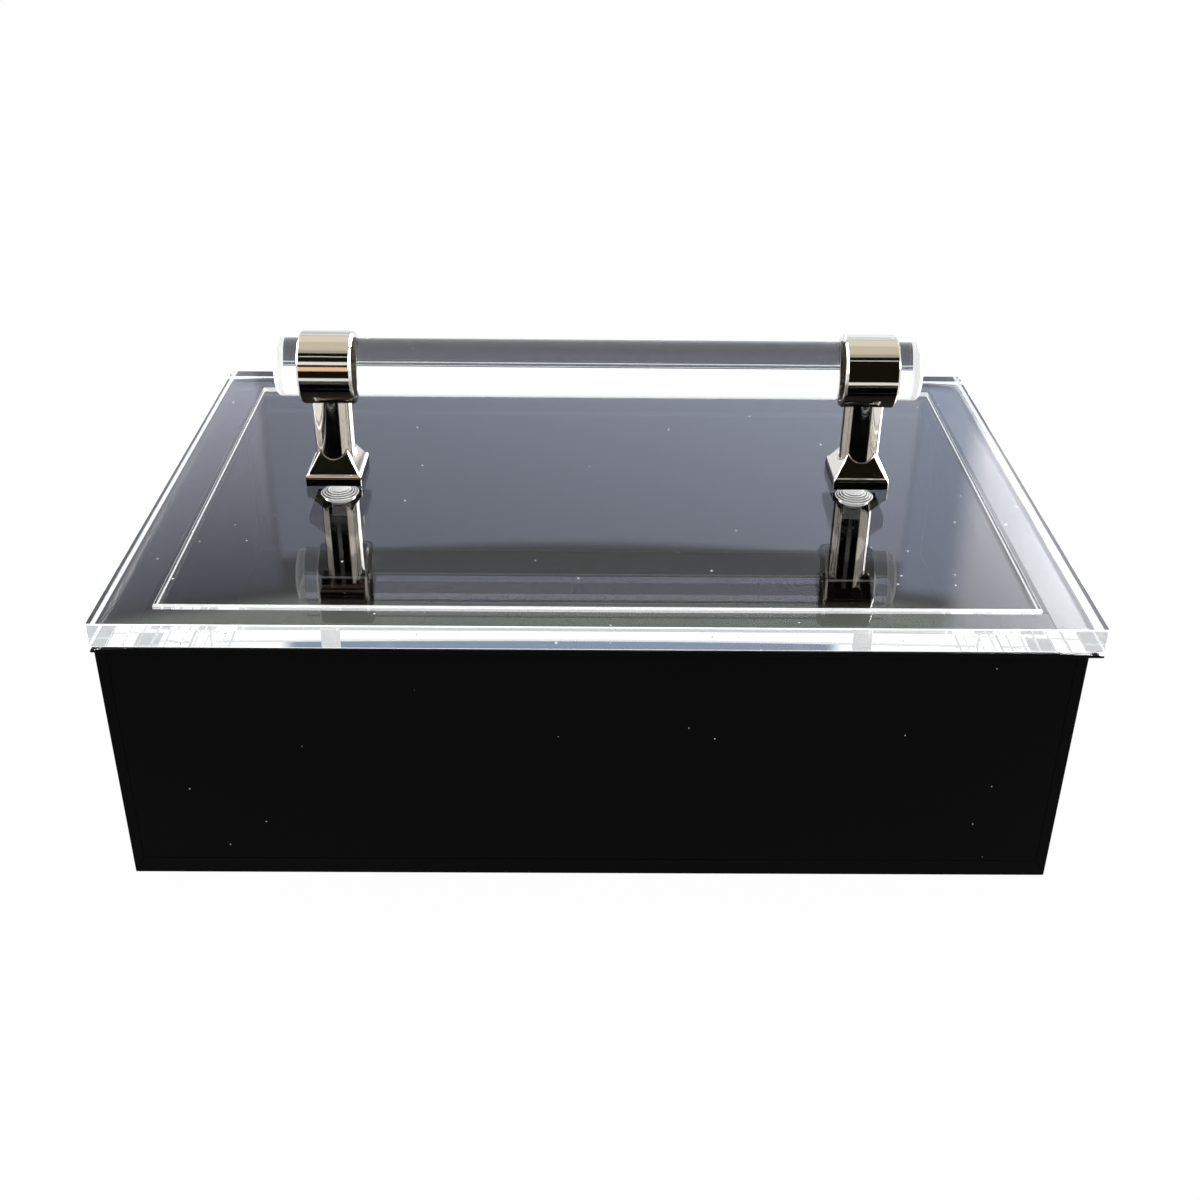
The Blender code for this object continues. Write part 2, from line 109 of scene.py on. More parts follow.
class NodeBench:
    """The node tree of a material or world, with short ways to add its nodes."""

    def __init__(self, owner: bpy.types.Material | bpy.types.World) -> None:
        """Take an owner's node tree and empty it.

        Args:
            owner: The material or world.
        """
        owner.use_nodes = True
        self.tree = owner.node_tree
        self.tree.nodes.clear()

    def add(self, kind: str, inputs: dict[Any, Any] | None = None,
            **settings: Any) -> bpy.types.Node:
        """Add a node with its settings, values and links.

        Args:
            kind: The node's type, such as "ShaderNodeMath".
            inputs: Socket name or number to a value, or to a socket to link from.
            **settings: Properties of the node itself.

        Returns:
            The new node.
        """
        node = self.tree.nodes.new(kind)
        for name, value in settings.items():
            setattr(node, name, value)
        self.plug(node, inputs or {})
        return node

    def plug(self, node: bpy.types.Node, inputs: dict[Any, Any]) -> None:
        """Set or link a node's inputs.

        Args:
            node: The node.
            inputs: Socket name or number to a value, or to a socket to link from.
        """
        for key, value in inputs.items():
            if isinstance(value, Socket):
                self.tree.links.new(value, node.inputs[key])
            else:
                node.inputs[key].default_value = value

    def maths(self, operation: str, *values: Socket | float) -> Socket:
        """One math operation on up to three values."""
        return self.add("ShaderNodeMath", dict(enumerate(values)), operation=operation).outputs[0]

    def product(self, *values: Socket | float) -> Socket:
        """Multiply values, one after another.

        Args:
            values: The numbers and sockets.

        Returns:
            Their product.
        """
        found = values[0]
        for value in values[1:]:
            found = self.maths("MULTIPLY", found, value)
        return found

    def spread(self, value: Socket, low: float, high: float, start: float = 0.0, end: float = 1.0,
               smooth: bool = False) -> Socket:
        """Map one range onto another, and hold what lies beyond it.

        Args:
            value: What is mapped.
            low: The result at the start.
            high: The result at the end.
            start: Where the value's range starts.
            end: Where it ends.
            smooth: Whether the result eases in and out.

        Returns:
            The result.
        """
        return self.add("ShaderNodeMapRange", {
            "Value": value, "From Min": start, "From Max": end, "To Min": low, "To Max": high},
            interpolation_type="SMOOTHSTEP" if smooth else "LINEAR").outputs["Result"]

    def mix(self, factor: Socket | float, first: Any, second: Any, data_type: str = "RGBA",
            blend_type: str = "MIX") -> Socket:
        """Mix two colours or numbers.

        Args:
            factor: The second one's share.
            first: The first colour or number.
            second: The second one.
            data_type: "RGBA" for colours and "FLOAT" for numbers.
            blend_type: How the second is laid over the first.

        Returns:
            The mixture.
        """
        return self.add("ShaderNodeMix", {"Factor": factor, "A": first, "B": second},
                        data_type=data_type, blend_type=blend_type).outputs["Result"]

    def noise(self, size: float, detail: float) -> Socket:
        """Cloudy noise in the object's own space.

        Args:
            size: The clouds' size, in metres.
            detail: Its finer octaves.

        Returns:
            A value about one half.
        """
        place = self.add("ShaderNodeTexCoord").outputs["Object"]
        return self.add("ShaderNodeTexNoise", {
            "Vector": place, "Scale": 1 / size, "Detail": detail}).outputs["Fac"]

    def bump(self, height: Socket, strength: float) -> Socket:
        """Raise the surface by hundredths of a millimetre."""
        return self.add("ShaderNodeBump", {
            "Height": height, "Strength": strength, "Distance": 0.02 * MM}).outputs["Normal"]


@dataclass(frozen=True)
class Finish:
    """A surface finish: one material, made once and shared by its pieces."""

    name: str
    slot: str
    colour: str
    roughness: float

    def material(self) -> bpy.types.Material:
        """Return the finish's material, made on first use."""
        made = bpy.data.materials.get(self.name)
        if made is None:
            made = bpy.data.materials.new(self.name)
            bench = NodeBench(made)
            shader = bench.add("ShaderNodeBsdfPrincipled", {
                "Base Color": linear(self.colour), "Roughness": self.roughness})
            bench.add("ShaderNodeOutputMaterial", {"Surface": shader.outputs["BSDF"]})
            bench.plug(shader, self.detail(bench))
        return made

    def detail(self, bench: NodeBench) -> dict[str, Any]:
        """The shader inputs that make the finish; the plain finish has none."""
        return {}


@dataclass(frozen=True)
class Dusty(Finish):
    """A finish that dust settles on, in specks with a rough white face."""

    dust_cell: float = 6.5 * MM
    dust_radius: float = 0.17 * MM
    dust_colour: str = "#C9C9CC"
    dust_seed: float = 3.7
    dust_roughness: float = 0.9
    dust_core: float = 0.55

    def specks(self, bench: NodeBench) -> Socket:
        """Dust specks: where a cell's random point lies close to the surface.

        Args:
            bench: The material's nodes.

        Returns:
            A mask: 1 on a speck and 0 elsewhere.
        """
        place = bench.add("ShaderNodeTexCoord").outputs["Object"]
        moved = bench.add("ShaderNodeMapping", {
            "Vector": place, "Location": (self.dust_seed, self.dust_seed, self.dust_seed)})
        cells = bench.add("ShaderNodeTexVoronoi", {
            "Vector": moved.outputs["Vector"], "Scale": 1 / self.dust_cell})
        edge = self.dust_radius / self.dust_cell
        return bench.spread(cells.outputs["Distance"], 1.0, 0.0, edge * self.dust_core, edge)


@dataclass(frozen=True)
class BlackSheet(Dusty):
    """Cast acrylic sheet, black right through, with an uneven face.

    It gives a near-black with a soft broad sheen and a few dust specks, which black acrylic draws
    by static.
    """

    specular_level: float = 0.03
    specular_tint: str = "#FFFFFF"
    patch: float = 60 * MM
    patch_detail: float = 3.0
    patch_span: tuple[float, float] = (0.3, 0.7)
    smoother: float = 0.06
    duller: float = 0.08
    grain: float = 0.4 * MM
    grain_strength: float = 0.12

    def detail(self, bench: NodeBench) -> dict[str, Any]:
        """Uneven satin, a fine grain and dust.

        Args:
            bench: The material's nodes.

        Returns:
            Shader input to value or socket.
        """
        dust = self.specks(bench)
        satin = bench.spread(bench.noise(self.patch, self.patch_detail),
                             self.roughness - self.smoother, self.roughness + self.duller,
                             *self.patch_span)
        inputs = {
            "Specular IOR Level": self.specular_level,
            "Specular Tint": linear(self.specular_tint),
            "Roughness": bench.mix(dust, satin, self.dust_roughness, "FLOAT"),
            "Base Color": bench.mix(dust, linear(self.colour), linear(self.dust_colour))}
        if self.grain_strength > 0:
            inputs["Normal"] = bench.bump(bench.noise(self.grain, 2.0), self.grain_strength)
        return inputs


@dataclass(frozen=True)
class ClearAcrylic(Dusty):
    """Clear cast acrylic, flame polished on faces and edges.

    It gives glass-like depth, edges that pipe the light of the room, and dust specks on top.
    """

    name: str = "clear cast acrylic"
    slot: str = "clear_acrylic"
    colour: str = "#FBFDFE"
    roughness: float = 0.0
    index: float = 1.49
    dust_cell: float = 8.5 * MM
    dust_radius: float = 0.32 * MM
    dust_colour: str = "#FFFFFF"
    dust_seed: float = 0.9
    dust_roughness: float = 0.8

    def detail(self, bench: NodeBench) -> dict[str, Any]:
        """Clear between its dust specks.

        Args:
            bench: The material's nodes.

        Returns:
            Shader input to value or socket.
        """
        dust = self.specks(bench)
        return {"IOR": self.index,
                "Transmission Weight": bench.spread(dust, 1.0, 0.0),
                "Roughness": bench.spread(dust, self.roughness, self.dust_roughness),
                "Base Color": bench.mix(dust, linear(self.colour), linear(self.dust_colour))}


@dataclass(frozen=True)
class Milky(Finish):
    """A clouded clear plastic, with a painted glow: an even emission that stands in for the light
    that the clear sheets pipe to it.

    Scraped acrylic gives the fine white lines that outline the clear sheets, partly by that painted
    glow, and natural nylon the milky washers that show through the lid.
    """

    index: float = 1.5
    clear_from: float = 0.0
    clear_to: float = 0.2
    # Emission strength: a painted glow in place of the light that the clear sheets pipe in.
    painted_glow: float = 0.45
    clouding: float = 1.5 * MM
    fineness: float = 2.0
    chatter: float = 0.0

    def detail(self, bench: NodeBench) -> dict[str, Any]:
        """Unevenly milky and unevenly rough, with a painted glow: an even emission that no lamp
        gives.

        Args:
            bench: The material's nodes.

        Returns:
            Shader input to value or socket.
        """
        cloud = bench.noise(self.clouding, self.fineness)
        # The emission below is painted glow, not a lamp.
        return {"IOR": self.index,
                "Transmission Weight": bench.spread(cloud, self.clear_from, self.clear_to),
                "Emission Color": linear(self.colour),
                "Emission Strength": self.painted_glow,
                "Roughness": bench.spread(cloud, self.roughness - self.chatter,
                                          self.roughness + self.chatter)}


@dataclass(frozen=True)
class Metal(Finish):
    """A metal with marks of its making: a polishing wheel's waves or a turning tool's rings.

    As nickel it gives a warm mirror, faintly wavy, and as a screw's steel a duller grey.
    """

    marks: float = 0.35 * MM
    smoother: float = 0.08
    duller: float = 0.12
    wave_strength: float = 0.0

    def detail(self, bench: NodeBench) -> dict[str, Any]:
        """Metal with an uneven skin.

        Args:
            bench: The material's nodes.

        Returns:
            Shader input to value or socket.
        """
        marks = bench.noise(self.marks, 2.0)
        inputs = {"Metallic": 1.0,
                  "Roughness": bench.spread(marks, self.roughness - self.smoother,
                                            self.roughness + self.duller)}
        if self.wave_strength > 0:
            inputs["Normal"] = bench.bump(marks, self.wave_strength)
        return inputs


SHEET = BlackSheet("satin black cast acrylic", "satin_black_acrylic", "#040405", 0.42)
# The flange's strips are glossier and smeared, and give a neutral dark grey under the clear lid.
STRIP = BlackSheet("semi-gloss black acrylic strip", "black_frame_acrylic", "#0A0A0A", 0.22,
                   dust_cell=6.0 * MM, dust_radius=0.16 * MM, dust_colour="#D8D8D4", dust_seed=1.3,
                   specular_level=0.12, specular_tint="#FFF4E2", patch=45 * MM, patch_detail=4.0,
                   smoother=0.05, duller=0.07, grain_strength=0.0)
CLEAR = ClearAcrylic()
CLEAR_BAR = ClearAcrylic(name="clear cast acrylic bar", dust_cell=4 * MM, dust_radius=0.13 * MM)
# Scraped arrises: milky and rough, with a painted glow that brightens their fine white lines.
SCRAPED = Milky("scraped acrylic arris", "clear_acrylic", "#FAFBFB", 0.55, index=1.49,
                clear_from=0.2, painted_glow=0.55, clouding=0.5 * MM, fineness=1.0, chatter=0.15)
NICKEL = Metal("polished nickel plate", "polished_nickel", "#DEDAD3", 0.05, marks=3.0 * MM,
               smoother=0.02, duller=0.04, wave_strength=0.25)
# Nylon washers: milky, with a painted glow.
NYLON = Milky("natural nylon", "natural_nylon", "#FBFAF6", 0.30)
# Painted shade: a darker nylon for the washers' grooves and mouth, where shade falls.
NYLON_SHADE = Milky("natural nylon, soiled in its grooves", "natural_nylon", "#6E6C68", 0.30,
                     painted_glow=0.05)
ZINC = Metal("zinc plated steel", "zinc_plated_steel", "#D6D6D4", 0.18)
BLACK_OXIDE = Metal("black oxide steel", "blackened_steel", "#2E2E31", 0.42)


def middle(node: str) -> Vector:
    """The middle of a CAD node's box."""
    low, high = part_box(node)
    return (low + high) / 2


def half_size(node: str) -> Vector:
    """Half the size of a CAD node's box."""
    low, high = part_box(node)
    return (high - low) / 2


def make_object(name: str, maker: bmesh.types.BMesh) -> bpy.types.Object:
    """Turn a bmesh into an object in the scene, and free it.

    Args:
        name: The name of the object and of its mesh.
        maker: Its shape, in place.

    Returns:
        The new object.
    """
    mesh = bpy.data.meshes.new(name)
    maker.to_mesh(mesh)
    maker.free()
    thing = bpy.data.objects.new(name, mesh)
    bpy.context.scene.collection.objects.link(thing)
    return thing


@dataclass
class Assembly:
    """A sub-assembly: makes pieces and hands them to the frame."""

    body: Body = Body.BOX
    smooth_angle: float = math.radians(28)

    def piece(self, name: str, maker: bmesh.types.BMesh, finish: Finish, replaces: tuple[str, ...],
              smooth: bool = False, second: Finish | None = None) -> bpy.types.Object:
        """Turn a bmesh into a finished piece that rides on the sub-assembly's body.

        Args:
            name: The piece's name.
            maker: Its shape, in place; freed here.
            finish: What it is made of.
            replaces: The CAD nodes that it stands for.
            smooth: Whether its round faces are shaded smooth.
            second: What its faces of material index 1 are made of.

        Returns:
            The new object.
        """
        thing = make_object(name, maker)
        if smooth:
            thing.data.shade_smooth()
            thing.data.set_sharp_from_angle(angle=self.smooth_angle)
        for skin in (finish, second):
            if skin is not None:
                thing.data.materials.append(skin.material())
        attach(thing, self.body.value)
        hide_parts(*replaces)
        LOG.info("%s: %d faces, for %s", name, len(thing.data.polygons), ", ".join(replaces))
        return thing

    def dress_node(self, node: str, finish: Finish) -> None:
        """Give a CAD node that keeps its shape a better material.

        Args:
            node: The node's name.
            finish: What it is made of.
        """
        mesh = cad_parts[node].data
        mesh.materials.clear()
        mesh.materials.append(finish.material())
        LOG.info("%s: the CAD node, dressed", node)


def box_bmesh(low: Point | Vector, high: Point | Vector) -> bmesh.types.BMesh:
    """Make a box between two corners.

    Args:
        low: The lowest corner.
        high: The highest corner.

    Returns:
        A new bmesh that holds the box.
    """
    low, high = Vector(low), Vector(high)
    maker = bmesh.new()
    bmesh.ops.create_cube(maker, size=1.0)
    bmesh.ops.scale(maker, vec=high - low, verts=maker.verts)
    bmesh.ops.translate(maker, vec=(low + high) / 2, verts=maker.verts)
    return maker


def cylinder_bmesh(radius: float, depth: float, place: Matrix, steps: int) -> bmesh.types.BMesh:
    """Make a solid cylinder.

    Args:
        radius: Its radius.
        depth: Its length, along its own Z.
        place: Where its middle goes, and how it is turned.
        steps: The number of faces round it.

    Returns:
        A new bmesh that holds the cylinder.
    """
    maker = bmesh.new()
    bmesh.ops.create_cone(maker, cap_ends=True, cap_tris=True, segments=steps, radius1=radius,
                          radius2=radius, depth=depth, matrix=place)
    return maker


def round_edges(maker: bmesh.types.BMesh, edges: list[bmesh.types.BMEdge], width: float,
                segments: int) -> None:
    """Bevel chosen edges of a shape.

    Args:
        maker: The shape.
        edges: Its edges.
        width: The bevel's width.
        segments: Its number of faces.
    """
    bmesh.ops.bevel(maker, geom=edges, offset=width, offset_type="OFFSET", segments=segments,
                    profile=0.5, affect="EDGES", clamp_overlap=True, material=-1)


def break_edges(maker: bmesh.types.BMesh, width: float,
                wanted: Callable[[bmesh.types.BMEdge], bool] = lambda edge: True) -> None:
    """Break the convex sharp edges of a shape with one flat face each.

    Args:
        maker: The shape.
        width: The face's width.
        wanted: Chooses among the sharp edges.
    """
    round_edges(maker, [edge for edge in maker.edges if edge.is_convex
                        and edge.calc_face_angle(0.0) > SHARP and wanted(edge)], width, 1)


def lift_face(maker: bmesh.types.BMesh, face: bmesh.types.BMFace,
              keep: bool = False) -> bmesh.types.BMFace:
    """Extrude one face, and take away the one that it leaves inside.

    Args:
        maker: The shape.
        face: The face.
        keep: Whether the face stays, as a shape's first one does.

    Returns:
        The extruded face, not yet moved.
    """
    grown = bmesh.ops.extrude_face_region(maker, geom=[face])["geom"]
    if not keep:
        bmesh.ops.delete(maker, geom=[face], context="FACES_ONLY")
    return next(item for item in grown if isinstance(item, bmesh.types.BMFace))


def place_corners(face: bmesh.types.BMFace, centre: Vector, half: Vector, height: float) -> None:
    """Set a four-cornered level face to a size and a height.

    Args:
        face: The face.
        centre: The middle that it gets.
        half: Half the width and depth that it gets.
        height: Its level.
    """
    now = face.calc_center_median()
    for vertex in face.verts:
        vertex.co = Vector((centre.x + math.copysign(half.x, vertex.co.x - now.x),
                            centre.y + math.copysign(half.y, vertex.co.y - now.y), height))


def ring_bmesh(profile: list[tuple[float, float]], centre: Point | Vector, axis: str,
               steps: int) -> bmesh.types.BMesh:
    """Spin a profile of (radius, along) points about an axis.

    Args:
        profile: The points, in order. A profile that starts and ends on the axis makes a solid,
            and any other is closed into a ring.
        centre: Where the axis passes, and where along is zero.
        axis: "X" or "Z".
        steps: The number of faces round the turn.

    Returns:
        A new bmesh with its faces pointing out.
    """
    maker = bmesh.new()
    points = [maker.verts.new((radius, 0.0, along)) for radius, along in profile]
    edges = [maker.edges.new(pair) for pair in zip(points, points[1:])]
    if profile[0][0] > 0.0:
        edges.append(maker.edges.new((points[-1], points[0])))
    bmesh.ops.spin(maker, geom=points + edges, cent=(0, 0, 0), axis=(0, 0, 1),
                   angle=math.tau, steps=steps, use_merge=True)
    bmesh.ops.remove_doubles(maker, verts=maker.verts, dist=TINY / 10)
    bmesh.ops.recalc_face_normals(maker, faces=maker.faces)
    turn = Matrix.Rotation(math.pi / 2, 4, "Y") if axis == "X" else Matrix.Identity(4)
    bmesh.ops.transform(maker, matrix=Matrix.Translation(centre) @ turn, verts=maker.verts)
    return maker


def cut_away(thing: bpy.types.Object, maker: bmesh.types.BMesh, finish_index: int = 0) -> None:
    """Take a shape away from a piece and keep the result as its mesh.

    Args:
        thing: The piece.
        maker: The shape to take away; freed here.
        finish_index: Material index of the faces that it cuts.
    """
    for face in maker.faces:
        face.material_index = finish_index
    tool = make_object("cutter", maker)
    boolean = thing.modifiers.new("cut", "BOOLEAN")
    boolean.operation = "DIFFERENCE"
    boolean.solver = "EXACT"
    boolean.object = tool
    bpy.context.view_layer.update()
    evaluated = thing.evaluated_get(bpy.context.evaluated_depsgraph_get())
    result = bpy.data.meshes.new_from_object(evaluated)
    thing.modifiers.remove(boolean)
    spent = (thing.data, tool.data)
    thing.data = result
    bpy.data.objects.remove(tool, do_unlink=True)
    for mesh in spent:
        bpy.data.meshes.remove(mesh)
    result.name = thing.name


@dataclass
class Carcass(Assembly):
    """The five black panels, with real mitres and hairline seams."""

    arris: float = 0.08 * MM
    seam: float = 0.02 * MM

    def build(self) -> None:
        """Make the five panels."""
        left_low, left_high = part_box("left_wall")
        right_low, right_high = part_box("right_wall")
        base_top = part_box("base_panel")[1].z
        self.base(left_low.x, right_high.x, left_high.x - left_low.x)
        self.side("left", left_high.x, base_top)
        self.side("right", right_low.x, base_top)
        for name in ("front", "rear"):
            low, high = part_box(name + "_wall")
            maker = box_bmesh((left_high.x + self.seam, low.y, base_top + self.seam),
                              (right_low.x - self.seam, high.y, high.z))
            self.panel(name, maker, name + "_wall")

    def panel(self, name: str, maker: bmesh.types.BMesh, node: str) -> None:
        """Break a panel's edges and hand it over."""
        break_edges(maker, self.arris)
        self.piece(name + "_panel", maker, SHEET, (node,))

    def base(self, left: float, right: float, mitre: float) -> None:
        """Make the base panel, mitred at both ends.

        Args:
            left: Outer face of the left wall.
            right: Outer face of the right wall.
            mitre: Thickness of a side wall.
        """
        low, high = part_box("base_panel")
        edge = self.seam * 2
        maker = box_bmesh((left + edge, low.y, low.z), (right - edge, high.y, high.z))
        for vertex in maker.verts:
            if vertex.co.z > (low.z + high.z) / 2:
                vertex.co.x -= math.copysign(mitre, vertex.co.x)
        self.panel("bottom", maker, "base_panel")

    def side(self, name: str, inner: float, base_top: float) -> None:
        """Make a side panel with a mitred foot.

        Args:
            name: Which side.
            inner: X of the wall's inner face.
            base_top: Top of the base panel.
        """
        maker = box_bmesh(*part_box(name + "_wall"))
        for vertex in maker.verts:
            if abs(vertex.co.x - inner) < self.seam and vertex.co.z < base_top:
                vertex.co.z = base_top
        self.panel(name, maker, name + "_wall")


@dataclass
class Flange(Assembly):
    """The four thin strips round the mouth, butt-jointed at the corners."""

    arris: float = 0.12 * MM
    seam: float = 0.08 * MM
    droop: float = 0.45 * MM

    def build(self) -> None:
        """Make the four strips."""
        left_low, left_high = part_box("frame_strip_left")
        right_low, right_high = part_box("frame_strip_right")
        for name in ("front", "rear"):
            low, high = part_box("frame_strip_" + name)
            self.strip(name, box_bmesh((left_high.x + self.seam, low.y, low.z),
                                       (right_low.x - self.seam, high.y, high.z)))
        for name, low, high in (("left", left_low, left_high), ("right", right_low, right_high)):
            maker = box_bmesh(low, high)
            outer = low.x if name == "left" else high.x
            for vertex in maker.verts:
                if abs(vertex.co.x - outer) < self.seam and vertex.co.z > (low.z + high.z) / 2:
                    vertex.co.z -= self.droop
            self.strip(name, maker)

    def strip(self, name: str, maker: bmesh.types.BMesh) -> None:
        """Break a strip's edges and keep its sawn sides as dull as the sheet.

        Args:
            name: Which strip.
            maker: Its shape.
        """
        break_edges(maker, self.arris)
        for face in maker.faces:
            face.material_index = 0 if face.normal.z > FLAT else 1
        self.piece("flange_" + name, maker, STRIP, ("frame_strip_" + name,), second=SHEET)


@dataclass
class ClearLid(Assembly):
    """The clear slab and the clear plate bonded under it, as one optical solid.

    Where the two sheets meet, the plate's broken edge leaves a fine groove.
    """

    body: Body = Body.LID
    arris: float = 0.35 * MM
    top_arris: float = 0.20 * MM
    plate_arris: float = 0.22 * MM
    groove: float = 0.35 * MM
    side_groove: float = 0.3 * MM
    front_groove: float = 0.6 * MM
    hole_play: float = 0.3 * MM
    hole_steps: int = 96

    def build(self) -> None:
        """Make the bonded lid and drill it for the two screws."""
        slab_low, slab_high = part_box("lid_slab")
        plate_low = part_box("locating_plate")[0]
        centre, half = middle("locating_plate"), half_size("locating_plate")
        neck = slab_low.z - self.groove
        maker = box_bmesh(slab_low, slab_high)
        underside = min(maker.faces, key=lambda face: face.calc_center_median().z)
        bmesh.ops.inset_individual(maker, faces=[underside], thickness=self.arris)
        inset = Vector((self.side_groove, self.front_groove, 0))
        place_corners(underside, centre, half - inset, slab_low.z)
        for level in (neck, plate_low.z):
            underside = lift_face(maker, underside)
            place_corners(underside, centre, half, level)
        bmesh.ops.recalc_face_normals(maker, faces=maker.faces)
        break_edges(maker, self.arris, lambda edge: (
            not any(self.on_level(edge, level) for level in (slab_high.z, plate_low.z, neck))
            and not self.crosses(edge, slab_low.z - self.groove / 2)))
        break_edges(maker, self.plate_arris, lambda edge: self.on_level(edge, plate_low.z))
        break_edges(maker, self.top_arris, lambda edge: self.on_level(edge, slab_high.z))
        # Faces of index 1 are scraped: milky, with a painted glow.
        for face in maker.faces:
            sawn = face.normal.y > FLAT and face.calc_center_median().z < slab_low.z
            if sawn or max(abs(part) for part in face.normal) < FLAT:
                face.material_index = 1
        lid = self.piece("clear_lid", maker, CLEAR, ("lid_slab", "locating_plate"), second=SCRAPED)
        for side in Side:
            self.drill(lid, side, plate_low.z, slab_high.z)

    @staticmethod
    def on_level(edge: bmesh.types.BMEdge, level: float) -> bool:
        """Tell whether an edge lies at a height."""
        return all(abs(vertex.co.z - level) < TINY for vertex in edge.verts)

    @staticmethod
    def crosses(edge: bmesh.types.BMEdge, level: float) -> bool:
        """Tell whether a short edge passes a height."""
        first, second = (vertex.co.z - level for vertex in edge.verts)
        return first * second < 0 and abs(first) < 1 * MM and abs(second) < 1 * MM

    def drill(self, lid: bpy.types.Object, side: Side, bottom: float, top: float) -> None:
        """Drill the hole for one screw through the bonded lid.

        Args:
            lid: The lid's object.
            side: Which screw.
            bottom: Underside of the lid.
            top: Top of the lid.
        """
        centre = middle(side.named("mount_screw"))
        centre.z = (bottom + top) / 2
        cut_away(lid, cylinder_bmesh(screw_shank_radius(side) + self.hole_play, (top - bottom) * 2,
                                     Matrix.Translation(centre), self.hole_steps), 1)


def screw_shank_radius(side: Side) -> float:
    """Measure a mount screw's shank, which is what stands above its washer.

    Args:
        side: Which screw.

    Returns:
        The shank's radius.
    """
    name = side.named("mount_screw")
    centre = middle(name)
    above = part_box(side.named("washer"))[1].z
    return max(vertex.co.x - centre.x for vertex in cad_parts[name].data.vertices
               if vertex.co.z > above)


@dataclass
class HandleBar(Assembly):
    """The clear bar, with rounded ends that were sanded and left milky."""

    body: Body = Body.LID
    end_round: float = 1.3 * MM
    end_steps: int = 10
    milky_from: float = 0.3
    steps: int = 256

    def build(self) -> None:
        """Make the bar."""
        reach = half_size("handle_rod")
        profile = [(0.0, reach.x)]
        for end in (1, -1):
            corner = []
            for step in range(self.end_steps + 1):
                angle = math.pi / 2 * step / self.end_steps
                corner.append((reach.z - self.end_round * (1 - math.sin(angle)),
                               end * (reach.x - self.end_round * (1 - math.cos(angle)))))
            profile += corner[::end]
        profile.append((0.0, -reach.x))
        maker = ring_bmesh(profile, middle("handle_rod"), "X", self.steps)
        # The end faces are scraped: milky, with a painted glow.
        for face in maker.faces:
            face.material_index = 1 if abs(face.normal.x) > self.milky_from else 0
        self.piece("handle_bar", maker, CLEAR_BAR, ("handle_rod",), smooth=True, second=SCRAPED)


